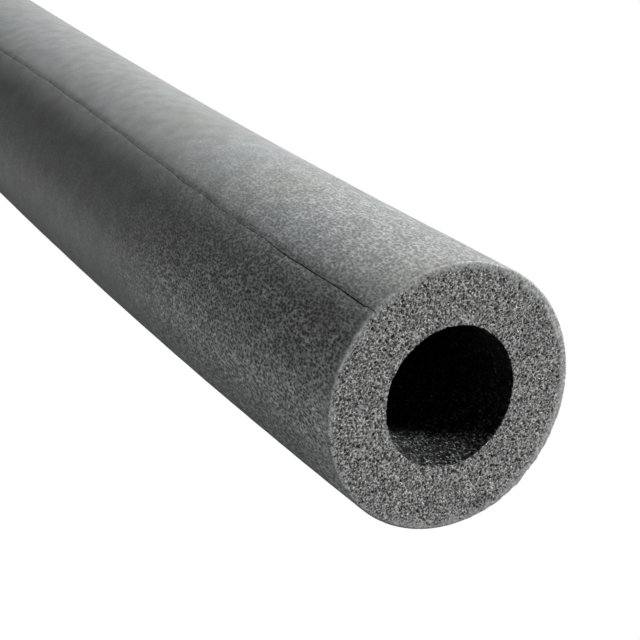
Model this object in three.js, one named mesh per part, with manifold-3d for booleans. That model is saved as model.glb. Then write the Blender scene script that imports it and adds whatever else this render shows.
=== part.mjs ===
// One length of foam lagging for a hot-water pipe: a soft grey tube with a bore for the pipe, a knife slit
// scored along its outside, and both ends cut square. It is extruded as a single piece, so it is one mesh.
//
// The tube lies on its side with +Z up. Soft tube keeps some of the curl of the bundle that it was stored in,
// so it bends near one end, which is called the near end here and points towards +X. The line between the
// middles of the two ends lies along X, and the bend carries the tube towards -Y from it. The origin is on
// the floor, under the middle of the bounding box. Lengths are in millimetres and angles in degrees.
import * as THREE from "three";
import { mergeVertices } from "three/addons/utils/BufferGeometryUtils.js";
import Module from "manifold-3d";

// The tube
const PIPE_DIAMETER = 28; // the copper pipe that the tube is sold for
const PIPE_CLEARANCE = 0.5; // air between that pipe and the bore, all round
const WALL = 13; // thickness of the foam
const LENGTH = 1000; // measured along the centreline
const RIM_RADIUS = 1.1; // soft outer edge of each cut end

// The bend: tightest at the near end, and faded out at the end of the bent stretch
const NEAR_BEND_RADIUS = 2270;
const BENT_STRETCH = 350;

// The slit, which wanders a little to either side of its mean line
const SLIT_WIDTH = 0.4; // across its mouth
const SLIT_DEPTH = 1.2;
const SLIT_ANGLE = 36; // from straight up towards -Y, about the centreline
const SLIT_WANDER = 3.7; // to either side of that angle
const SLIT_WAVELENGTH = 375;

// Fineness of the mesh
const SIDES = 72; // flats around the tube
const TUBE_STEPS = 30; // rings along the tube
const SLIT_STEPS = 50; // stretches along the slit
const RIM_STEPS = 3; // flats round each soft edge
const BEND_STEPS = 100; // straight steps that a place on the centreline is summed from

const boreRadius = PIPE_DIAMETER / 2 + PIPE_CLEARANCE;
const outerRadius = boreRadius + WALL;
const bladeOverrun = SLIT_WIDTH; // how far the slitting blade stands out of the foam, so that it cuts cleanly

// Direction of the centreline at a distance s from the near end, as an angle in radians from the near end's
// own axis. Its rate of change, the curvature, falls evenly from 1 / NEAR_BEND_RADIUS to nothing over the bent
// stretch, and the rest is straight.
function heading(s) {
  const bent = Math.min(s, BENT_STRETCH);
  return (bent - (bent * bent) / (2 * BENT_STRETCH)) / NEAR_BEND_RADIUS;
}

// Place on the centreline at a distance s from the near end: the sum of short straight steps, each along the
// heading at its middle.
function centreAt(s) {
  const step = s / BEND_STEPS;
  const place = new THREE.Vector2();
  for (let i = 0; i < BEND_STEPS; i += 1) {
    const angle = heading((i + 0.5) * step);
    place.x -= step * Math.cos(angle);
    place.y += step * Math.sin(angle);
  }
  return place;
}

// Bends a straight piece onto the centreline. The piece is modelled along +Z from the near end, with +Y as
// its top and +X as the outside of the bend.
function bend(geometry) {
  const position = geometry.getAttribute("position");
  for (let i = 0; i < position.count; i += 1) {
    const s = position.getZ(i);
    const out = position.getX(i);
    const up = position.getY(i);
    const centre = centreAt(s);
    const angle = heading(s);
    position.setXYZ(i, centre.x - out * Math.sin(angle), centre.y - out * Math.cos(angle), up);
  }
  return geometry;
}

// The soft outer edge of a cut end, from the face round to the skin: a quarter circle of points, each with
// its radius from the tube's axis as x and its distance from the face as y.
function softEdge() {
  const edge = [];
  for (let i = 0; i <= RIM_STEPS; i += 1) {
    const turn = ((Math.PI / 2) * i) / RIM_STEPS;
    const radius = outerRadius - RIM_RADIUS * (1 - Math.sin(turn));
    const inset = RIM_RADIUS * (1 - Math.cos(turn));
    edge.push(new THREE.Vector2(radius, inset));
  }
  return edge;
}

// A straight tube along +Z: the wall's cross-section, with soft outer edges, turned about the axis.
function straightTube() {
  const farEdge = softEdge().reverse();
  const rings = [];
  for (let i = 0; i <= TUBE_STEPS; i += 1) {
    rings.push((LENGTH * i) / TUBE_STEPS);
  }
  const profile = [
    ...softEdge(),
    ...rings.slice(1, -1).map((s) => new THREE.Vector2(outerRadius, s)),
    ...farEdge.map((point) => new THREE.Vector2(point.x, LENGTH - point.y)),
    ...rings.reverse().map((s) => new THREE.Vector2(boreRadius, s)),
  ];
  profile.push(profile[0]);
  // Half a side of turn puts a flat, and not a corner, underneath.
  const geometry = new THREE.LatheGeometry(profile, SIDES, Math.PI / SIDES);
  return geometry.rotateX(Math.PI / 2);
}

// A straight V-shaped blade along +Z, standing in the foam at the slit's angle, which varies along it.
function straightBlade() {
  const spread = SLIT_WIDTH / 2;
  const mouth = outerRadius + bladeOverrun;
  const flare = spread * (1 + bladeOverrun / SLIT_DEPTH);
  const section = new THREE.Shape();
  section.moveTo(0, outerRadius - SLIT_DEPTH);
  section.lineTo(flare, mouth);
  section.lineTo(-flare, mouth);
  section.closePath();
  const geometry = new THREE.ExtrudeGeometry(section, {
    depth: LENGTH + 2 * bladeOverrun,
    steps: SLIT_STEPS,
    bevelEnabled: false,
  });
  geometry.translate(0, 0, -bladeOverrun);

  const position = geometry.getAttribute("position");
  for (let i = 0; i < position.count; i += 1) {
    const along = (position.getZ(i) / SLIT_WAVELENGTH) * 2 * Math.PI;
    const angle = THREE.MathUtils.degToRad(SLIT_ANGLE + SLIT_WANDER * Math.cos(along));
    const x = position.getX(i);
    const y = position.getY(i);
    position.setX(i, y * Math.sin(angle) + x * Math.cos(angle));
    position.setY(i, y * Math.cos(angle) - x * Math.sin(angle));
  }
  return geometry;
}

const wasm = await Module();
wasm.setup();

// A closed geometry as a solid that can be cut.
function toSolid(geometry) {
  geometry.deleteAttribute("normal");
  geometry.deleteAttribute("uv");
  const merged = mergeVertices(geometry);
  return new wasm.Manifold(
    new wasm.Mesh({
      numProp: 3,
      vertProperties: merged.getAttribute("position").array,
      triVerts: new Uint32Array(merged.index.array),
    }),
  );
}

// A solid as a geometry with flat-shaded faces.
function toGeometry(solid) {
  const mesh = solid.getMesh();
  const indexed = new THREE.BufferGeometry();
  indexed.setAttribute("position", new THREE.BufferAttribute(mesh.vertProperties, 3));
  indexed.setIndex(new THREE.BufferAttribute(mesh.triVerts, 1));
  const geometry = indexed.toNonIndexed();
  geometry.computeVertexNormals();
  return geometry;
}

const foam = new THREE.MeshStandardMaterial({
  color: new THREE.Color(0.36, 0.37, 0.37),
  roughness: 0.75,
  metalness: 0,
});

const slitTube = toSolid(bend(straightTube())).subtract(toSolid(bend(straightBlade())));
const foamTube = new THREE.Mesh(toGeometry(slitTube), foam);
foamTube.name = "foam_tube";

// Turn the tube so that the chord between its ends lies along X, then centre it over the origin.
const farEnd = centreAt(LENGTH);
foamTube.rotation.z = Math.PI - Math.atan2(farEnd.y, farEnd.x);
foamTube.updateMatrixWorld();
const bounds = new THREE.Box3().setFromObject(foamTube, true);
const middle = bounds.getCenter(new THREE.Vector3());
foamTube.position.set(-middle.x, -middle.y, -bounds.min.z);

const lagging = new THREE.Group();
lagging.add(foamTube);

export default lagging;
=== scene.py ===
# %% [markdown]
# # A length of grey foam pipe lagging
# Pipe lagging is a soft, thick-walled foam tube. It is pushed over a hot-water pipe, or opened along a knife
# slit and closed round it. The foam is blown with gas as it leaves the die, so the inside is full of small
# bubbles, and only the outside and the bore have a closed skin. A cut end shows the bubbles sliced open.
#
# The packed part already fixes where the tube lies, how long and how thick it is, and how it bends. This
# script loads it, builds a finer surface over the same shape, and gives that surface its looks. Everything
# is in metres, in the part's own frame: +Z is up, and the near end points towards +X.

import math

import bpy
import numpy as np
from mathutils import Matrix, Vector


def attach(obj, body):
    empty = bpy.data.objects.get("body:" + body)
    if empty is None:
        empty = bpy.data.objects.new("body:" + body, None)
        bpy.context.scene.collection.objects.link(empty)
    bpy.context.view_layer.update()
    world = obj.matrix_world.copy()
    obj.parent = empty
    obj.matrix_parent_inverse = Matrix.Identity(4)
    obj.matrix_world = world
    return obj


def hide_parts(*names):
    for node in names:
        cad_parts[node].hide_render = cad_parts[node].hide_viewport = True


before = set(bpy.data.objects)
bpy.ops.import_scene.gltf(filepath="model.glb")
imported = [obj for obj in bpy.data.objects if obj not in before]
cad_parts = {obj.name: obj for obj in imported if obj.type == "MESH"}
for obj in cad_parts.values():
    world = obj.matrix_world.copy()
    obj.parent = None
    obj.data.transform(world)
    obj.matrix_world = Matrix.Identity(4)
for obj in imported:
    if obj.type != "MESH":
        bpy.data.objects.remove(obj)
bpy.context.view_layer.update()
MM = 0.001

# %% [markdown]
# ## The camera
# The picture is a close look at one cut end from a little above, with the tube running away to the upper
# left until the frame cuts it off. The camera comes first, so that every later step can be judged in the
# real view. A long lens a third of a metre away keeps the cut end nearly round. Its place and turn were
# fitted to the outline of the tube, so they aren't round numbers.

# %% Set up the camera
LENS = 99.147
SENSOR_WIDTH = 36
CAMERA_PLACE = (0.771802, -0.150512, 0.161611)
CAMERA_TILT = 69.28585
CAMERA_TURN = 65.23195

camera_data = bpy.data.cameras.new("studio_camera")
camera_data.sensor_width = SENSOR_WIDTH
camera_data.lens = LENS
camera_data.clip_start = 0.01
camera_data.clip_end = 50
camera = bpy.data.objects.new("studio_camera", camera_data)
camera.location = CAMERA_PLACE
camera.rotation_euler = (math.radians(CAMERA_TILT), 0, math.radians(CAMERA_TURN))
bpy.context.scene.collection.objects.link(camera)
bpy.context.scene.camera = camera
print("camera looks down by", round(90 - CAMERA_TILT, 2), "degrees")

# %% [markdown]
# ## The line that the tube follows
# Soft tube keeps some of the curl of its bundle. Here it bends near one end and is straight after that. The
# part's source gives the law: the direction turns by b - b*b / (2 * 350) over 2270, where b is the distance
# from the near end in millimetres, and it stops turning at 350. The place on the line is the sum of short
# steps along that direction. A table of that sum, read by interpolation, gives any place at once.

# %% Lay out the centreline
LENGTH = 1000 * MM
NEAR_BEND_RADIUS = 2270 * MM
BENT_STRETCH = 350 * MM
NEAR_END = np.array([499.1374, 3.2860, 27.4738]) * MM
TABLE_STEPS = 4000


def heading(s):
    """Turn of the line at distance s from the near end, in radians: b less half its square over the bent
    stretch, over the bend's radius, where b is s or the bent stretch, whichever is less."""
    b = np.minimum(s, BENT_STRETCH)
    return (b - b * b / (2 * BENT_STRETCH)) / NEAR_BEND_RADIUS


table_s = np.linspace(0, LENGTH, TABLE_STEPS + 1)
table_step = table_s[1]
middle_heading = heading(table_s[1:] - table_step / 2)
table_x = np.concatenate([[0], np.cumsum(-np.cos(middle_heading) * table_step)])
table_y = np.concatenate([[0], np.cumsum(np.sin(middle_heading) * table_step)])
CHORD_TURN = math.pi - math.atan2(table_y[-1], table_x[-1])
print("the chord is turned by", round(math.degrees(CHORD_TURN), 3), "degrees")

# %% [markdown]
# ## Places around the line
# Every surface of the tube is a function of two parameters that ends in the same three numbers: how far
# along the line a place is, at which angle around it, and how far from it. So one function turns these into
# a point of the part's frame. Angles start straight up and grow towards -Y, the side that the camera sees.

# %% Turn distance, angle and radius into points


def turned(x, y):
    """x and y turned about Z so that the chord between the tube's ends lies along X."""
    c, n = math.cos(CHORD_TURN), math.sin(CHORD_TURN)
    return c * x - n * y, n * x + c * y


def place(s, phi, r):
    """Points at distance s along the line, r away from it, at the angle phi from straight up towards -Y:
    the line's place at s, plus r times (cos phi of up, plus sin phi of the sideways direction)."""
    s, phi, r = np.broadcast_arrays(s, phi, r)
    side = heading(s)
    x = np.interp(s, table_s, table_x) - r * np.sin(phi) * np.sin(side)
    y = np.interp(s, table_s, table_y) - r * np.sin(phi) * np.cos(side)
    x, y = turned(x, y)
    return np.stack([x, y, r * np.cos(phi)], -1) + NEAR_END


print("far end, mm:", (place(LENGTH, 0.0, 0.0) / MM).round(3))

# %% [markdown]
# ## Where the slit runs
# The slit is one pass of a blade along the outside. The tube wriggles a little as it passes the blade, so
# the line wanders to either side of its mean angle. The mesh's columns follow that line, so that one column
# is always the bottom of the slit, and a few more stand close on either side to shape its lips. The rest
# are spread evenly. The cut ends need finer columns for their bubbles, so a column can be split into parts.

# %% Choose the columns around the tube
BORE_RADIUS = 14.5 * MM
OUTER_RADIUS = 27.5 * MM
SLIT_ANGLE = 36
SLIT_WANDER = 3.7
SLIT_WAVELENGTH = 375 * MM
CLOSE_COLUMNS = np.array([0, 0.14, 0.5, 1.0, 1.6]) * MM
COLUMNS = 200
NEAR_SPLIT = 4
FAR_SPLIT = 2


def slit_angle(s):
    """Angle of the slit at s: its mean, plus the wander times the cosine of one long wave."""
    return np.radians(SLIT_ANGLE + SLIT_WANDER * np.cos(2 * math.pi * s / SLIT_WAVELENGTH))


def coarse_columns():
    """Distances around the skin from the slit to every coarse column: close-set ones on either side of
    the slit, and even ones over the rest."""
    close = CLOSE_COLUMNS
    girth = 2 * math.pi * OUTER_RADIUS
    even = np.linspace(close[-1], girth - close[-1], COLUMNS - 2 * len(close) + 3)[1:-1]
    return np.concatenate([close, even, girth - close[:0:-1]])


coarse = coarse_columns() / OUTER_RADIUS
closed = np.append(coarse, 2 * math.pi)


def columns(split):
    """Angles from the slit of all columns, with each coarse gap cut evenly into split parts."""
    parts = np.arange(len(coarse) * split) / split
    return np.interp(parts, np.arange(len(closed)), closed)


print(len(coarse), "coarse columns and", len(columns(NEAR_SPLIT)), "fine ones")

# %% [markdown]
# ## Foam cells
# A sliced bubble is a small pit with a thin bright wall. Bubbles pack like grains, so a scatter of points
# with one point in each small cube makes a good stand-in: the nearest point says which bubble a place is in,
# and where the second nearest is almost as near, there is a wall. Whole-number mixing gives each cube
# its own fixed numbers, so the scatter is the same on every run.

# %% Scatter the bubbles
FAR_AWAY = 9.0


def mixed(i, j, k, salt):
    """A number from 0 to 1 for each cube (i, j, k): products and shifts of the whole numbers, wrapped."""
    h = i * 73856093 ^ j * 19349663 ^ k * 83492791 ^ salt * 2654435761
    h = (h ^ (h >> 13)) * 1274126177 & 0xFFFFFFFF
    h = (h ^ (h >> 16)) * 2246822519 & 0xFFFFFFFF
    return ((h ^ (h >> 15)) & 0xFFFFFF) / float(1 << 24)


def bubbles(points, size, salt):
    """For each point: how much further the second nearest bubble's middle is than the nearest one's, as a
    share of size, and the nearest bubble's own number from 0 to 1."""
    q = points / size
    base = np.floor(q).astype(np.int64)
    near = np.full(q.shape[:-1], FAR_AWAY)
    second = near.copy()
    own = np.zeros(q.shape[:-1])
    for step in np.ndindex(3, 3, 3):
        cube = base + np.array(step) - 1
        i, j, k = cube[..., 0], cube[..., 1], cube[..., 2]
        middle = cube + np.stack([mixed(i, j, k, salt + n) for n in (1, 2, 3)], -1)
        gap = np.linalg.norm(q - middle, axis=-1)
        nearer = gap < near
        second = np.where(nearer, near, np.minimum(second, gap))
        own = np.where(nearer, mixed(i, j, k, salt + 4), own)
        near = np.where(nearer, gap, near)
    return second - near, own


sample_points = place(0.0, np.linspace(0, 2 * math.pi, 500), 20 * MM)
print("mean gap between bubbles:", round(float(bubbles(sample_points, 1 * MM, 1)[0].mean()), 3))

# %% [markdown]
# ## Soft steps and uneven waves
# Most shapes below are a plain form with something added to it in one part only. A soft step from 0 to 1
# says where that part is, with no crease at its border. A knife that drags through foam leaves an edge of
# uneven teeth, which no sum of plain waves looks like. So each tooth gets a height of its own from the same
# fixed numbers, and soft steps join the teeth.

# %% Make the steps and waves


def smooth(low, high, x):
    """0 below low, 1 above high, and 3tt - 2ttt in between, where t is the share of the way."""
    t = np.clip((x - low) / (high - low), 0, 1)
    return t * t * (3 - 2 * t)


def waves(angle, amounts):
    """Sum of amount times cosine of (n times the angle, plus a shift), for each (n, amount, shift)."""
    return sum(a * np.cos(n * angle + shift) for n, a, shift in amounts)


def ragged(angle, teeth):
    """Uneven wave round a circle: its own height from -1 to 1 at each of that many places, joined by
    3tt - 2ttt. Several are added, each times its amount."""
    total = 0
    for count, amount in teeth:
        turns = angle / (2 * math.pi) * count
        tooth = np.floor(turns).astype(np.int64)
        before, after = (mixed(k % count, k * 0, k * 0, count) for k in (tooth, tooth + 1))
        total = total + amount * (2 * (before + (after - before) * smooth(0, 1, turns - tooth)) - 1)
    return total


def around(phi, degrees, width):
    """1 at that angle and less to either side: e to the minus square of the angle away over the width."""
    away = (np.degrees(phi) - degrees + 180) % 360 - 180
    return np.exp(-(away / width) ** 2)


print("a soft step at its quarters:", [round(float(smooth(0, 1, t)), 3) for t in (0.25, 0.5, 0.75)])

# %% [markdown]
# ## The slit
# At a cut end the slit stands open and reads as a thin black line. Further in, the foam has closed again
# behind the blade, and what is left is a soft shallow valley, a little darker than the skin. So the slit is
# two things added together: a valley over all the close columns, the same all along, and a deep narrow
# drop of the middle column, which fades out over the first stretch from either end. The blade also shook,
# so its line moves to and fro by a tenth of a millimetre and its mouth is wider in some places.
#
# Light hardly reaches the bottom of a real slit, and faces as wide as these can't show that alone. So each
# column also gets a shade from 0 to 1 that the finish reads later.

# %% Shape the slit
SLIT_DEPTH = 1.15 * MM
CLOSED_DEPTH = 0.03
OPEN_STRETCH = 70 * MM
VALLEY = np.array([0.060, 0.060, 0.038, 0.016, 0]) * MM
OPEN_SHADE = [0.75, 0.35, 0.14, 0.08, 0]
CLOSED_SHADE = [0.26, 0.26, 0.25, 0.20, 0.10]
MOUTH_CHANGE = 0.3
MOUTH_WAVELENGTHS = (83 * MM, 31 * MM)
WOBBLE = [(29 * MM, 0.14 * MM, 0.7), (17 * MM, 0.09 * MM, 0.0)]


def from_slit(u):
    """Distance around the skin from the slit to each column: the column's angle times the outer radius,
    less than nothing on one side."""
    across = (u + math.pi) % (2 * math.pi) - math.pi
    return across * OUTER_RADIUS


def lip_angles(u, s):
    """Column angles with the slit's mouth opened or closed a little along the tube, and the whole slit moved
    to and fro: the lips stand at 0.7 to 1.3 of their place, and both changes fade out 1.6 mm away."""
    across = from_slit(u)
    away = np.abs(across)
    lip, last = CLOSE_COLUMNS[1], CLOSE_COLUMNS[-1]
    slow, fast = (2 * math.pi * s / length for length in MOUTH_WAVELENGTHS)
    opening = MOUTH_CHANGE * np.sin(slow) * np.sin(fast + 1)
    fade = np.clip(1 - (away - lip) / (last - lip), 0, 1) * np.minimum(away / lip, 1)
    wobble = sum(amount * np.sin(2 * math.pi * s / length + shift) for length, amount, shift in WOBBLE)
    moved = across + np.sign(across) * opening * lip * fade + wobble * (1 - smooth(0, last, away))
    return moved / OUTER_RADIUS


def slit_open(s):
    """1 at either end of the tube, where the slit stands open, and 0 past the open stretch: a soft step."""
    return 1 - smooth(0, OPEN_STRETCH, np.minimum(s, LENGTH - s))


def slit_drop(u, s):
    """How far each column lies below the skin: the valley, plus the slit's depth in the middle column,
    which goes with the 1.5th power of how open the slit is, down to the closed share of it."""
    away = np.abs(from_slit(u))
    valley = np.interp(away, CLOSE_COLUMNS, VALLEY)
    depth = SLIT_DEPTH * (CLOSED_DEPTH + (1 - CLOSED_DEPTH) * slit_open(s) ** 1.5)
    return valley + depth * (away < CLOSE_COLUMNS[1] / 2)


def slit_shade(u, s):
    """How dark each column is, from 0 to 1: narrow and strong where the slit is open, wide and weak where
    it has closed, and 0 from the last close column on."""
    away = np.abs(from_slit(u))
    wide = np.interp(away, CLOSE_COLUMNS, CLOSED_SHADE, right=0)
    return wide + (np.interp(away, CLOSE_COLUMNS, OPEN_SHADE) - wide) * slit_open(s)


some_drops = slit_drop(0.0, np.array([0, 20, 40, 80]) * MM) / MM
print("the slit lies below the skin, 0, 20, 40 and 80 mm from the end, by mm:", some_drops.round(2))

# %% [markdown]
# ## The cut end in section
# A section through one cut end goes up the bore, round the knife-sharp inner edge, out across the cut face,
# round the softer outer edge and on along the skin. Drawing that section once, as a line of points with a
# distance along it, lets one grid make the whole end: one parameter runs round the tube, the other along
# the section.

# %% Draw the section of a cut end
RIM_RADIUS = 0.50 * MM
INNER_EDGE = 0.18 * MM
END_DEPTH = 2.4 * MM
INNER_POINTS = 5
RIM_POINTS = 13


def end_section():
    """The section's points as radius and depth: up the bore, a small quarter circle, straight out, a
    larger quarter circle, and along the skin."""
    a, b = (np.linspace(0, math.pi / 2, points) for points in (INNER_POINTS, RIM_POINTS))
    radius = np.concatenate([
        [BORE_RADIUS],
        BORE_RADIUS + INNER_EDGE * (1 - np.cos(a)),
        OUTER_RADIUS - RIM_RADIUS * (1 - np.sin(b)),
        [OUTER_RADIUS],
    ])
    depth = np.concatenate([
        [END_DEPTH],
        INNER_EDGE * (1 - np.sin(a)),
        RIM_RADIUS * (1 - np.cos(b)),
        [END_DEPTH],
    ])
    return radius, depth


section_r, section_d = end_section()
section_v = np.concatenate([[0], np.cumsum(np.hypot(np.diff(section_r), np.diff(section_d)))])
FACE_START = section_v[INNER_POINTS]
FACE_END = section_v[INNER_POINTS + 1]
print("section is", round(section_v[-1] / MM, 2), "mm long, face", round((FACE_END - FACE_START) / MM, 2))

# %% [markdown]
# A bubble sinks straight into the surface, so each place on the section also needs its way into the foam.
# It comes from two places a little before and after: the step from one to the other, turned by a right
# angle. At the rounded edges that gives a way in between the two walls.

# %% Read the section at any distance
LOOK_AHEAD = 0.02 * MM


def section_at(rows):
    """Radius and depth at distances along the section, and the way into the foam there as a share of
    radius and of depth: the way along the section, turned by a right angle."""
    r, d = (np.interp(rows, section_v, values) for values in (section_r, section_d))
    ahead_r, ahead_d = (
        np.interp(rows + LOOK_AHEAD, section_v, values) - np.interp(rows - LOOK_AHEAD, section_v, values)
        for values in (section_r, section_d)
    )
    length = np.hypot(ahead_r, ahead_d)
    return [values[:, None] for values in (r, d, -ahead_d / length, ahead_r / length)]


half_way = section_at(np.array([(FACE_START + FACE_END) / 2]))
print("on the face the way into the foam is", [round(float(x[0, 0]), 3) for x in half_way[2:]])

# %% [markdown]
# ## Faults of a cut end
# A soft end is never perfect. The bore isn't quite in the middle, and its edge is a little ragged where the
# knife went through bubbles. The outer edge is torn on one side near the bottom, and next to the tear it
# swells a little. The back of the near end is pressed in by a quarter of a millimetre, as foam is when it
# has lain against something. Each fault is a small change of the radius, with a soft step that keeps it to
# its own part of the wall. The share of the wall runs from 0 at the bore to 1 at the skin.

# %% Add up the faults
BORE_DRIFT = [(1, 0.37 * MM, -0.77), (2, 0.08 * MM, 0.0)]
EDGE = [(61, 0.07 * MM), (127, 0.07 * MM), (211, 0.05 * MM)]
TEAR = [(47, 0.08 * MM), (131, 0.15 * MM), (263, 0.20 * MM)]
TEAR_PLACE = (-135, 26)
TEAR_ELSEWHERE = 0.15
SWELL = 0.26 * MM
SWELL_PLACE = (-154, 18)
PRESS = 0.25 * MM
PRESS_STRETCH = 30 * MM
V_SLOPE = 0.25


def pressed(phi, s):
    """How far the near end's back is pressed in: the press times the sine towards +Y, fading along the
    tube by a soft step."""
    return PRESS * np.clip(-np.sin(phi), 0, 1) * (1 - smooth(0, PRESS_STRETCH, s))


def faults(phi, s, share, side):
    """Change of radius that the faults make: the bore's drift, the torn and swollen outer edge and the
    ragged inner edge, less the press. side is 0 at the near end and 1 at the far one, which is torn evenly
    and weakly all round."""
    drift = waves(phi, BORE_DRIFT) * (1 - smooth(0.0, 0.9, share))
    torn_at = TEAR_ELSEWHERE if side else around(phi, *TEAR_PLACE)
    swell = 0 if side else SWELL * around(phi, *SWELL_PLACE)
    torn = (ragged(phi, TEAR) * torn_at + swell) * smooth(0.86, 0.97, share)
    toothed = ragged(phi, EDGE) * (1 - smooth(0.0, 0.05, share))
    return drift + torn + toothed - pressed(phi, s) * smooth(0.2, 1.0, share)


def slit_into(r, share, drop):
    """The section's radius with the slit cut into it: the slit's floor, plus a quarter of how far the
    place is from the skin, but only where that lies below the rounded edge, and not near the bore."""
    lowered = np.minimum(r, OUTER_RADIUS - drop + (OUTER_RADIUS - r) * V_SLOPE)
    return np.where(share > 0.8, lowered, r)


full_turn = np.linspace(0, 2 * math.pi, 2000)
outer_change = faults(full_turn, 0.0, 1.0, 0) / MM
print("near outer edge moves by", outer_change.min().round(2), "to", outer_change.max().round(2), "mm")

# %% [markdown]
# ## Sliced bubbles and the smooth band
# Two sizes of bubble lie over each other, as in the real foam, where small ones fill the gaps between the
# large ones. A place sinks where it is away from a wall, and each bubble has its own depth, because the
# knife meets some in the middle and some near their tops. Next to the outer edge is a smooth paler band,
# wider on one side, where the foam near the skin has hardly any bubbles. Its border is ragged too.

# %% Sink the bubbles and place the band
CELL = 0.80 * MM
FINE_CELL = 0.50 * MM
PIT_DEPTH = 0.20 * MM
BAND_START = 0.875
BAND_LEAN = 0.045
BAND_NARROWEST = 112
BAND = [(53, 0.02), (151, 0.035), (263, 0.035)]


def pits(where, side):
    """How deep each place lies in a sliced bubble, from 0 to 1: 0.8 of the large bubbles plus 0.35 of the
    small ones, each a soft step away from the walls times a soft step of the bubble's own number."""
    wall, own = bubbles(where, CELL, 11 + side)
    fine_wall, fine_own = bubbles(where, FINE_CELL, 31 + side)
    large = smooth(0.08, 0.42, wall) * (0.35 + 0.65 * smooth(0.25, 0.9, own))
    small = smooth(0.10, 0.5, fine_wall) * smooth(0.3, 0.9, fine_own)
    return np.clip(0.8 * large + 0.35 * small, 0, 1)


def band_start(phi):
    """Share of the wall where the smooth band starts: its mean, plus the lean times the cosine of the
    angle from where the band is narrowest, plus uneven teeth."""
    return BAND_START + BAND_LEAN * np.cos(phi - math.radians(BAND_NARROWEST)) + ragged(phi, BAND)


band_widths = (1 - band_start(full_turn)) * (OUTER_RADIUS - BORE_RADIUS) / MM
print("the smooth band is", band_widths.min().round(2), "to", band_widths.max().round(2), "mm wide")

# %% [markdown]
# ## A whole cut end
# Now the section, the slit, the faults and the bubbles come together in one grid. Five marks go with it,
# numbers from 0 to 1 at every corner that tell the finish what the place is: sliced face, bore, how deep in
# a bubble, pale band, and shade. The bubbles are deepest on the face, weak in the band and almost gone on
# the skin. The outer edge leans back a little, because soft foam slumps as the knife leaves it.

# %% Build a cut end
SLUMP = 0.12 * MM
EDGE_SHADE = 0.5
BAND_PITS = 0.25
SKIN_PITS = 0.10


def along_tube(depth, side):
    """Distance along the tube of a depth behind a cut face: the depth itself at the near end, where side
    is 0, and the tube's length less the depth at the far end, where it is 1."""
    return LENGTH - depth if side else depth


def cut_end(split, rows, side):
    """Grid of points of one cut end, and its marks. The radius is the section's with the slit cut in and
    the faults added, the depth is the section's plus the slump, and both then move into the foam by the
    depth of the bubbles."""
    u = columns(split)[None, :]
    r, d, in_r, in_d = section_at(rows)
    s_end = along_tube(0.0, side)
    phi = lip_angles(u, s_end) + slit_angle(s_end)
    share = (r - BORE_RADIUS) / (OUTER_RADIUS - BORE_RADIUS)
    on_skin = smooth(OUTER_RADIUS - RIM_RADIUS, OUTER_RADIUS, r)
    on_edge = 1 - smooth(RIM_RADIUS, END_DEPTH, d) * (share > 0.5)
    full_r = slit_into(r, share, slit_drop(u, s_end)) + faults(phi, along_tube(d, side), share, side)

    band = band_start(phi)
    pit = pits(place(along_tube(d, side), phi, full_r), side)
    cut = smooth(0.0, 0.01, share) * (1 - smooth(band, band + 0.06, share))
    # painted shade: the pale band's mark is cut back on the rounded outer edge, most on top, against its
    # highlight
    rim = smooth(band, band + 0.07, share) * (1 - (0.6 + 0.25 * np.cos(phi)) * on_skin) * on_edge
    # painted shade on top of the rounded outer edge and the skin just behind it, kept in the shade mark
    painted_top_edge_shade = EDGE_SHADE * on_skin * on_edge * np.clip(np.cos(phi), 0, 1) ** 6
    shade = np.maximum(slit_shade(u, s_end) * smooth(0.9, 1.0, share), painted_top_edge_shade)

    sink = PIT_DEPTH * pit * (cut + BAND_PITS * (1 - cut) * (1 - on_skin) + SKIN_PITS * on_skin)
    slumped = SLUMP * (0.5 - 0.5 * np.sin(phi)) * smooth(0.80, 1.0, share) * on_edge
    points = place(along_tube(d + slumped + sink * in_d, side), phi, full_r + sink * in_r)
    marks = {"cut": cut, "bore": 1 - smooth(0.0, 0.012, share), "pit": pit, "rim": rim, "shade": shade}
    return points, {name: np.broadcast_to(value, pit.shape) for name, value in marks.items()}


border_marks = cut_end(1, np.array([FACE_START, FACE_END]), 0)[1]
print("marks at the face's borders:", {name: value.mean(1).round(2) for name, value in border_marks.items()})

# %% [markdown]
# ## Rows of the cut ends
# A cut end has few rows up the bore, where nothing happens, and many across the face, so that each bubble
# gets a few corners. The near end is looked at closely and the far one isn't, so the far one has half as
# many rows and columns. Its rows run the other way, because the section is walked backwards there.

# %% Make both cut ends
NEAR_ROWS = (54, 8)
FAR_ROWS = (28, 6)
PLAIN_ROWS = 4


def end_rows(face_rows, edge_rows):
    """Distances along the section of a cut end's rows: a few up the bore and round its edge, many
    across the face, and some round the outer edge and along the skin."""
    borders = [0, section_v[1], FACE_START, FACE_END, section_v[-2], section_v[-1]]
    counts = [PLAIN_ROWS, PLAIN_ROWS, face_rows, edge_rows, PLAIN_ROWS]
    parts = [np.linspace(a, b, count)[1:] for a, b, count in zip(borders, borders[1:], counts)]
    return np.concatenate([[0], *parts])


near_points, near_marks = cut_end(NEAR_SPLIT, end_rows(*NEAR_ROWS), 0)
far_points, far_marks = cut_end(FAR_SPLIT, end_rows(*FAR_ROWS)[::-1], 1)
print("near end:", near_points.shape[:2], "far end:", far_points.shape[:2], "rows and columns")

# %% [markdown]
# ## The skin and the bore between the ends
# Between the two ends both walls are plain: the skin with the slit in it, and the bore. Each is one grid,
# with rows set closer near the ends, where the slit's wander and the bend are seen best. A foam skin is never
# dead smooth, so a few long shallow waves move it by some hundredths of a millimetre.

# %% Shape the long walls
SKIN_WAVES = [
    (0.030 * MM, 61 * MM, 0.0, 3, 0.5),
    (0.022 * MM, 23 * MM, 1.3, 5, 2.1),
    (0.014 * MM, 11 * MM, 0.4, 9, 4.0),
]
CALM_STRETCH = 12 * MM
SKIN_ROWS = 116
BORE_ROWS = 18
SEAM_GAP = 1.0 * MM
CROWDING = 0.45


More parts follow.
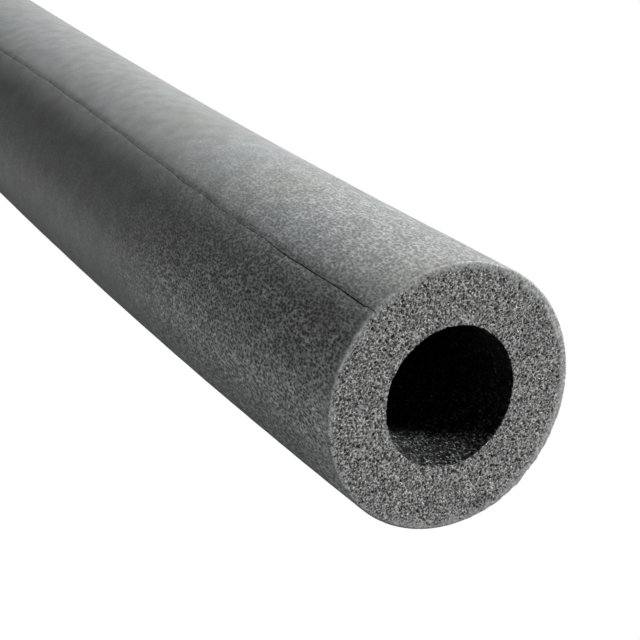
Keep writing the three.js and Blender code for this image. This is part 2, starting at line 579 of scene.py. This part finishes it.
def soft_waves(s, phi):
    """Long shallow waves of a foam skin: the sum of products of a wave along the tube and one around it.
    They fade out over the stretch that meets a cut end."""
    calm = smooth(END_DEPTH, CALM_STRETCH, s) * smooth(END_DEPTH, CALM_STRETCH, LENGTH - s)
    return calm * sum(
        amount * np.sin(2 * math.pi * s / length + shift) * np.cos(lobes * phi + turn)
        for amount, length, shift, lobes, turn in SKIN_WAVES
    )


def plain_marks(like, **given):
    """The five marks of a wall with nothing cut: 0 everywhere, apart from those given."""
    zero = np.zeros(like.shape)
    return {name: zero + given.get(name, 0) for name in near_marks}


def skin_wall(rows):
    """Grid of the outside: the outer radius, less the slit and the press, plus the soft waves."""
    u, s = columns(1)[None, :], rows[:, None]
    phi = lip_angles(u, s) + slit_angle(s)
    r = OUTER_RADIUS - slit_drop(u, s) - pressed(phi, s) + soft_waves(s, phi)
    return place(s, phi, r), plain_marks(r, shade=slit_shade(u, s))


def bore_wall(rows):
    """Grid of the bore: the bore's radius plus its drift and the soft waves."""
    u, s = columns(1)[None, :], rows[:, None]
    phi = u + slit_angle(s)
    r = BORE_RADIUS + waves(phi, BORE_DRIFT) + soft_waves(s, phi)
    return place(s, phi, r), plain_marks(r, bore=1)


spread = np.linspace(-1, 1, SKIN_ROWS)
even_s = 0.5 * (1 + spread * (1 + CROWDING - CROWDING * np.abs(spread)))
wall_start = END_DEPTH + SEAM_GAP
wall_s = wall_start + even_s * (LENGTH - 2 * wall_start)
bore_s = np.interp(np.linspace(0, 1, BORE_ROWS), np.linspace(0, 1, SKIN_ROWS), wall_s)[::-1]
skin_points, skin_marks = skin_wall(wall_s)
bore_points, bore_marks = bore_wall(bore_s)
row_gaps = np.diff(wall_s) / MM
print("rows of the skin are", row_gaps.min().round(1), "to", row_gaps.max().round(1), "mm apart")

# %% [markdown]
# ## Sewing the grids into one closed surface
# The grids lie one after another round the section: near end, skin, far end turned about, bore. The cut ends
# have more columns than the long walls, so where two grids meet, one wide face takes one coarse edge and
# several fine ones. That keeps the surface closed without spending small faces where nothing needs them.

# %% Sew the grids together


def quads(start, rows, cols):
    """Corner numbers of a grid's faces: each face takes a column and the next one, on a row and the next."""
    i = np.arange(rows - 1)[:, None] * cols
    j = np.arange(cols)[None, :]
    k = (j + 1) % cols
    return start + np.stack([i + j, i + k, i + cols + k, i + cols + j], -1).reshape(-1, 4)


def seam(fine_row, coarse_row, split, fine_first):
    """Faces between a fine row and a coarse one: a coarse edge and the split + 1 fine corners beside it.
    The order of corners depends on which row comes first along the section."""
    count = np.arange(len(coarse_row))[:, None]
    many = fine_row[(count * split + np.arange(split + 1)) % len(fine_row)]
    few = coarse_row[(count + np.arange(2)) % len(coarse_row)]
    rows = [many, few[:, ::-1]] if fine_first else [few, many[:, ::-1]]
    return np.concatenate(rows, axis=1)


near, skin, far, bore = range(4)
grids = [near_points, skin_points, far_points, bore_points]
grid_marks = [near_marks, skin_marks, far_marks, bore_marks]
starts = np.cumsum([0] + [grid.shape[0] * grid.shape[1] for grid in grids])
first = [start + np.arange(grid.shape[1]) for start, grid in zip(starts, grids)]
last = [end - grid.shape[1] + np.arange(grid.shape[1]) for end, grid in zip(starts[1:], grids)]
face_sets = [quads(start, *grid.shape[:2]) for start, grid in zip(starts, grids)]
face_sets += [
    seam(last[near], first[skin], NEAR_SPLIT, True),
    seam(first[far], last[skin], FAR_SPLIT, False),
    seam(last[far], first[bore], FAR_SPLIT, True),
    seam(first[near], last[bore], NEAR_SPLIT, False),
]
corners = np.concatenate([grid.reshape(-1, 3) for grid in grids])
corners[:, 2] = np.maximum(corners[:, 2], 0)
faces = [face for face_set in face_sets for face in face_set.tolist()]
print(len(corners), "corners,", sum(len(face) - 2 for face in faces), "triangles")

# %% [markdown]
# ## The mesh and its marks
# Blender takes the corners and faces as they are. The marks become attributes of the mesh, which the
# finish reads by name and the export keeps. All faces are shaded smooth, apart from the edges along the
# slit's two lips: with smooth shading there, the steep wall of the slit would tint the skin beside it
# and give the slit a bright lip that the real one doesn't have.

# %% Build the mesh
LIP_SHADE = 0.05


def lip_corners(marks):
    """True at a grid's corners on the slit's lips: the close column on either side of the slit, where the
    foam is shaded."""
    on_lip = marks["shade"] > LIP_SHADE
    split = on_lip.shape[1] // len(coarse)
    others = np.ones(on_lip.shape[1], bool)
    others[[split, -split]] = False
    on_lip[:, others] = False
    return on_lip.reshape(-1)


lagging_mesh = bpy.data.meshes.new("foam_lagging")
lagging_mesh.from_pydata(corners, [], faces)
lagging_mesh.polygons.foreach_set("use_smooth", np.ones(len(lagging_mesh.polygons), bool))
for mark in near_marks:
    values = np.concatenate([marks[mark].reshape(-1) for marks in grid_marks]).astype(np.float32)
    lagging_mesh.attributes.new(mark, "FLOAT", "POINT").data.foreach_set("value", values)
    print(mark, "mean over corners:", round(float(values.mean()), 3))
lagging_mesh.update()

lips = np.concatenate([lip_corners(marks) for marks in grid_marks])
edge_ends = np.empty(2 * len(lagging_mesh.edges), np.int32)
lagging_mesh.edges.foreach_get("vertices", edge_ends)
sharp = lips[edge_ends.reshape(-1, 2)].all(1)
lagging_mesh.attributes.new("sharp_edge", "BOOLEAN", "EDGE").data.foreach_set("value", sharp)
lagging = bpy.data.objects.new("foam_lagging", lagging_mesh)
bpy.context.scene.collection.objects.link(lagging)
print(int(sharp.sum()), "sharp edges along the slit's lips")

# %% [markdown]
# ## A helper for finishes
# A material is a net of small nodes, and written out one by one they hide what is meant. This helper adds a
# node, joins its inputs and hands back its output, so that a finish reads as a few lines of sums. A span
# moves a value from one range to another, and a blend goes from one number to another by a third.

# %% Write the helper


class Nodes:
    """Adds nodes to a material and joins them, so that a finish reads as a few lines."""

    def __init__(self, owner):
        self.tree = owner.node_tree
        self.tree.nodes.clear()

    def add(self, kind, inputs=None, **settings):
        """A node of that kind with its settings, and with inputs given as values or as other sockets."""
        made = self.tree.nodes.new(kind)
        for name, value in settings.items():
            setattr(made, name, value)
        for name, value in (inputs or {}).items():
            if isinstance(value, bpy.types.NodeSocket):
                self.tree.links.new(value, made.inputs[name])
            else:
                made.inputs[name].default_value = value
        return made

    def mark(self, name):
        """The value of an attribute of the mesh."""
        return self.add("ShaderNodeAttribute", attribute_name=name).outputs["Fac"]

    def maths(self, operation, a, b=0.0):
        """a and b put through one operation."""
        return self.add("ShaderNodeMath", {0: a, 1: b}, operation=operation).outputs[0]

    def product(self, *factors):
        """All the factors multiplied together."""
        result = factors[0]
        for factor in factors[1:]:
            result = self.maths("MULTIPLY", result, factor)
        return result

    def span(self, value, low, high, to_low, to_high):
        """value moved from the range low..high to to_low..to_high, and held inside it."""
        made = self.add("ShaderNodeMapRange", {0: value, 1: low, 2: high, 3: to_low, 4: to_high})
        return made.outputs[0]

    def blend(self, share, a, b):
        """a where share is 0 and b where it is 1, for numbers."""
        return self.add("ShaderNodeMix", {0: share, 2: a, 3: b}, data_type="FLOAT").outputs[0]

    def stretched(self, where, share):
        """The place with its X made smaller by that share, so that what is drawn there is longer along X."""
        made = self.add("ShaderNodeVectorMath", {0: where, 1: (share, 1, 1)}, operation="MULTIPLY")
        return made.outputs["Vector"]

    def noise(self, where, size, detail=1.0):
        """Smooth noise from 0 to 1, with lumps about size across."""
        inputs = {"Vector": where, "Scale": 1 / size, "Detail": detail, "Roughness": 0.5}
        return self.add("ShaderNodeTexNoise", inputs).outputs["Fac"]

    def cells(self, where, size):
        """Distance to the nearest of scattered points about size apart, as a share of size."""
        made = self.add("ShaderNodeTexVoronoi", {"Vector": where, "Scale": 1 / size})
        return made.outputs["Distance"]


print("helper methods:", [name for name in vars(Nodes) if not name.startswith("_")])

# %% [markdown]
# ## The foam's finish
# Three finishes share one material: the closed skin, the cut face with its band, and the bore. The marks on
# the mesh say which is where, so that they fade into each other round the soft edge. Every pattern is drawn
# on the object's own coordinates in metres, so its grain has a real size and nothing slides in another view.
# The foam was pulled out of the die along X, so the dimples of the skin are drawn out that way: the place is
# squeezed along X before the pattern is drawn on it.

# %% Start the foam material
foam = bpy.data.materials.new("grey_foam")
foam.use_nodes = True
n = Nodes(foam)
where = n.add("ShaderNodeTexCoord").outputs["Object"]
axes = n.add("ShaderNodeSeparateXYZ", {"Vector": where}).outputs
from_middle = n.maths("ABSOLUTE", axes["X"])
cut_mark, bore_mark, pit_mark, rim_mark, shade_mark = (n.mark(name) for name in near_marks)

drawn = n.stretched(where, 0.6)
dimples = n.cells(drawn, 0.62 * MM)
grain = n.noise(drawn, 0.40 * MM)
lumps = n.noise(where, 2.6 * MM)
clouds = n.noise(where, 4.5 * MM)
drift = n.noise(where, 28 * MM, 2.0)
print(len(foam.node_tree.nodes), "nodes for the places, the marks and the patterns of the skin")

# %% [markdown]
# ### The skin
# Close up, the skin is speckled by the bubbles just under it. The speckle is strongest where the ends have
# been handled and cut, and it fades towards the middle of the tube and on the top, where the skin is
# smooth and shiny. Over it lie painted light and shade: a painted reflection of the white sheet as a pale
# streak along the middle of each side, a painted highlight on top, painted light as a paler strip next to
# each cut end on the lower half, and painted shade that makes the back of the near end greyer.

# %% Mix the tone of the skin
SKIN_TONE = 0.108

speckle = n.product(
    n.span(dimples, 0.15, 0.75, 0.08, 1.85),
    n.span(grain, 0.3, 0.7, 0.35, 1.65),
    n.span(lumps, 0.25, 0.75, 0.8, 1.2),
)
handled = n.product(
    n.span(from_middle, 385 * MM, 460 * MM, 0.20, 1.45),
    n.span(axes["Z"], 36 * MM, 50 * MM, 1.0, 0.30),
)
# painted shade: the back of the near end is darkened
painted_back_shade = n.product(
    n.span(axes["X"], 380 * MM, 500 * MM, 0.0, 1.0),
    n.span(axes["Y"], -2 * MM, 14 * MM, 0.0, 1.0),
)
# painted light: the lower half next to each cut end is made paler
painted_end_light = n.product(
    n.span(from_middle, 486 * MM, 498 * MM, 0.0, 1.0),
    n.span(axes["Z"], 24 * MM, 38 * MM, 1.0, 0.1),
)
# painted reflection of the white sheet along the middle of each side, and a painted highlight on top
off_painted_reflection = n.maths("ABSOLUTE", n.maths("SUBTRACT", axes["Z"], 27 * MM))
painted_skin_light = n.product(
    n.span(off_painted_reflection, 1.5 * MM, 9 * MM, 1.12, 0.85),
    n.span(axes["Z"], 46 * MM, 53 * MM, 1.0, 1.17),
    n.span(painted_end_light, 0.0, 1.0, 1.0, 1.32),
)
skin_tone = n.product(
    painted_skin_light,
    n.blend(handled, 1.0, speckle),
    n.span(drift, 0.3, 0.7, 0.96, 1.04),
    n.span(clouds, 0.3, 0.7, 0.90, 1.10),
    n.span(painted_back_shade, 0.0, 1.0, 1.0, 0.74),
    SKIN_TONE,
)
print(len(foam.node_tree.nodes), "nodes with the skin")

# %% [markdown]
# ### The cut face and its band
# A sliced bubble is dark because light goes in and hardly comes out, and its wall is pale, so the pits get a
# near-black tone: painted shade. The mesh has the large bubbles, and two patterns of smaller ones go on top.
# Here and there a wall catches the light as a tiny bright point, so a sparse painted highlight is added, not
# multiplied. The band by the outer edge has the same small cells, but weak. It is paler than the face, partly
# because its foam has hardly any bubbles and partly as painted light on the soft edge, and it is paler
# towards the back, where it is widest.

# %% Mix the tone of the cut face
WALL_TONE = 0.128
PIT_SHADE_TONE = 0.002
BAND_TONES = (0.175, 0.22)

open_cells = n.cells(where, 0.56 * MM)
fine_cells = n.cells(where, 0.38 * MM)
sliced_tone = n.product(
    # painted shade: the pits' tone is near black
    n.span(pit_mark, 0.0, 0.8, WALL_TONE, PIT_SHADE_TONE),
    n.span(open_cells, 0.15, 0.75, 0.06, 1.80),
    n.span(fine_cells, 0.15, 0.75, 0.35, 1.65),
    n.span(lumps, 0.25, 0.75, 0.88, 1.12),
)
# painted highlight: sparse bright points on the cell walls
sparkle = n.span(n.noise(where, 0.36 * MM), 0.64, 0.71, 0.0, 0.38)
face_tone = n.maths("ADD", sliced_tone, sparkle)
# the band's tone is partly its own paler foam and partly painted light on the soft edge
band_tone = n.product(
    n.span(open_cells, 0.15, 0.75, 0.6, 1.3),
    n.span(fine_cells, 0.15, 0.75, 0.75, 1.25),
    n.span(axes["Y"], -12 * MM, 26 * MM, *BAND_TONES),
)
print(len(foam.node_tree.nodes), "nodes with the cut face")

# %% [markdown]
# ### The bore
# The wall of the bore has a tone much darker than the skin's. Part of that is its own rough, half-open
# surface, and part is painted shade for how little light gets in. It shows as short streaks of small pale
# flecks on a nearly black ground, with a few bright glints that are painted highlights. Both are drawn out
# along the tube, and painted shade makes them weaker on the upper half.

# %% Mix the tone of the bore
BORE_TONE = 0.018

bore_drawn = n.stretched(where, 0.55)
flecks = n.product(
    n.span(n.cells(bore_drawn, 0.48 * MM), 0.3, 0.75, 0.0, 2.7),
    n.span(n.noise(bore_drawn, 0.40 * MM), 0.40, 0.62, 0.0, 2.3),
    n.span(n.noise(where, 1.6 * MM), 0.35, 0.65, 0.2, 1.8),
    BORE_TONE,
)
# painted highlight: a few bright glints
glints = n.span(n.noise(bore_drawn, 0.44 * MM), 0.635, 0.685, 0.0, 0.34)
bore_tone = n.product(
    n.maths("ADD", glints, flecks),
    # painted shade: the upper half of the bore is darker
    n.span(axes["Z"], 15 * MM, 26 * MM, 1.0, 0.4),
)
print(len(foam.node_tree.nodes), "nodes with the bore")

# %% [markdown]
# ### Bringing the finishes together
# The marks choose between the three tones and paint shade into the slit and onto the top of the rounded
# outer edge, unevenly, because the slit's lips are crumbly. Grey foam isn't quite neutral: the skin is a
# touch green and the sliced foam nearly pure grey. The relief too small for the mesh comes from a bump, with
# the same dimples on the skin and the same cells on the face, so that dark spots are low. Sliced foam is
# rougher than the skin.

# %% Join the foam material
PAINTED_SHADE_TONE = 0.3
SHINE = 0.32

tone = n.blend(cut_mark, n.blend(bore_mark, skin_tone, bore_tone), face_tone)
tone = n.blend(rim_mark, tone, band_tone)
# painted shade from the shade mark: the slit and the top of the outer edge
uneven_shade = n.product(
    shade_mark,
    n.span(n.noise(where, 3 * MM), 0.35, 0.65, 0.6, 1.3),
    n.span(n.noise(where, 0.8 * MM), 0.35, 0.65, 0.35, 1.75),
)
tone = n.product(tone, n.span(uneven_shade, 0.0, 1.0, 1.0, PAINTED_SHADE_TONE))
sliced = n.maths("MAXIMUM", cut_mark, rim_mark)
colour = n.add("ShaderNodeCombineColor", {
    "Red": n.product(tone, n.blend(sliced, n.span(drift, 0.35, 0.65, 0.985, 0.955), 0.995)),
    "Green": n.maths("MULTIPLY", tone, 1.01),
    "Blue": n.product(tone, n.blend(sliced, n.span(drift, 0.35, 0.65, 0.985, 1.01), 0.99)),
}).outputs["Color"]

skin_height = n.maths("ADD", n.maths("MULTIPLY", dimples, 0.62), n.maths("MULTIPLY", lumps, 0.4))
face_height = n.maths("ADD", n.maths("MULTIPLY", open_cells, 0.8), n.maths("MULTIPLY", fine_cells, 0.6))
height = n.blend(cut_mark, n.maths("MULTIPLY", skin_height, handled), face_height)
bump = n.add("ShaderNodeBump", {"Height": height, "Distance": 0.12 * MM, "Strength": 0.7})
shader = n.add("ShaderNodeBsdfPrincipled", {
    "Base Color": colour,
    "Roughness": n.blend(sliced, 0.6, 0.88),
    "Normal": bump.outputs["Normal"],
    "Specular IOR Level": SHINE,
})
n.add("ShaderNodeOutputMaterial", {"Surface": shader.outputs["BSDF"]})
lagging_mesh.materials.append(foam)
print(len(foam.node_tree.nodes), "nodes in the foam")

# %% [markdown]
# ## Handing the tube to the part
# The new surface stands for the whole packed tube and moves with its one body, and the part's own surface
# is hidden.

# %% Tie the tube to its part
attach(lagging, "root")
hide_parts("foam_tube")
print("the new surface replaces foam_tube")

# %% [markdown]
# ## The white sheet
# The tube lies on a white sheet that glows a little, as on a light table. To the camera it is plain white.
# To the tube it is weak light from below, which goes out under the tube, where the sheet is covered, and
# just past the cut end, so that the face and the bore keep their dark pits.

# %% Lay the sheet
SHEET_HALF = 4.0
SHEET_DROP = 0.02 * MM
SHEET_GLOW = 0.39
SHEET_TONE = (0.03, 0.03, 0.03, 1)
PURE_WHITE = (1, 1, 1, 1)


def floor_sheet(half):
    """A flat square of that half-width, just under the tube."""
    x, y = (np.array(signs) * half for signs in ((-1, 1, 1, -1), (-1, -1, 1, 1)))
    mesh = bpy.data.meshes.new("floor")
    mesh.from_pydata(np.stack([x, y, np.full(4, -SHEET_DROP)], -1), [], [(0, 1, 2, 3)])
    made = bpy.data.objects.new("floor", mesh)
    bpy.context.scene.collection.objects.link(made)
    return made


floor = floor_sheet(SHEET_HALF)
white_sheet = bpy.data.materials.new("white_sheet")
white_sheet.use_nodes = True
n = Nodes(white_sheet)
ground = n.add("ShaderNodeTexCoord").outputs["Object"]
along = n.add("ShaderNodeSeparateXYZ", {"Vector": ground}).outputs["X"]
uncovered = n.add("ShaderNodeAmbientOcclusion", {"Distance": 35 * MM}, samples=8).outputs["AO"]
glow = n.maths(
    "MULTIPLY",
    n.span(uncovered, 0.15, 0.9, 0.0, SHEET_GLOW),
    n.span(along, 510 * MM, 580 * MM, 1.0, 0.05),
)
sheet = n.add("ShaderNodeBsdfPrincipled", {
    "Base Color": SHEET_TONE,
    "Roughness": n.span(n.noise(ground, 0.4), 0, 1, 0.85, 0.95),
    "Specular IOR Level": 0.0,
    "Emission Color": PURE_WHITE,
    "Emission Strength": glow,
})
white = n.add("ShaderNodeEmission", {"Color": PURE_WHITE, "Strength": 1.0})
seen = n.add("ShaderNodeLightPath").outputs["Is Camera Ray"]
both = n.add("ShaderNodeMixShader", {0: seen, 1: sheet.outputs["BSDF"], 2: white.outputs["Emission"]})
n.add("ShaderNodeOutputMaterial", {"Surface": both.outputs["Shader"]})
floor.data.materials.append(white_sheet)
print(len(white_sheet.node_tree.nodes), "nodes in the sheet")

# %% [markdown]
# ## The air and the lamps
# The surroundings are white to the camera too, and otherwise almost dark, so the lamps alone shape the tube.
# Two large lamps stand high behind it: one gives the top its pale light, and one past the cut end lights the
# face and only the first part of the bore. A weaker third one hangs higher up and softens the change from
# top to side, and a low one on the near side lifts the front out of the dark.

# %% Hang the lamps
AIR_LIGHT = 0.04

world = bpy.data.worlds.new("studio_air")
world.use_nodes = True
n = Nodes(world)
seen = n.add("ShaderNodeLightPath").outputs["Is Camera Ray"]
air = n.add("ShaderNodeBackground", {"Color": PURE_WHITE, "Strength": n.span(seen, 0.0, 1.0, AIR_LIGHT, 1.0)})
n.add("ShaderNodeOutputWorld", {"Surface": air.outputs["Background"]})
bpy.context.scene.world = world


def lamp(name, at, towards, size, power):
    """A rectangular lamp of that size at a place, facing another."""
    data = bpy.data.lights.new(name, "AREA")
    data.shape = "RECTANGLE"
    data.size, data.size_y = size
    data.energy = power
    made = bpy.data.objects.new(name, data)
    made.location = at
    direction = np.array(towards, float) - np.array(at, float)
    made.rotation_euler = Vector(direction).to_track_quat("-Z", "Y").to_euler()
    bpy.context.scene.collection.objects.link(made)
    return made


lamps = [
    lamp("key", (0.3, 0.85, 0.88), (0.3, 0, 0.03), (0.4, 0.4), 46),
    lamp("end", (1.3, 0.85, 0.88), (0.49, 0, 0.03), (0.4, 0.4), 34),
    lamp("top", (0.2, 0.51, 1.12), (0.2, 0, 0.03), (0.4, 0.4), 6.4),
    lamp("side", (0.45, -1.2, 0.09), (0.45, 0, 0.03), (0.3, 0.12), 5.4),
]
bpy.context.scene.view_settings.view_transform = "Standard"
print(len(lamps), "lamps,", sum(made.data.energy for made in lamps), "watts together")

# %% [markdown]
# The new surface has to stay in the part's box.
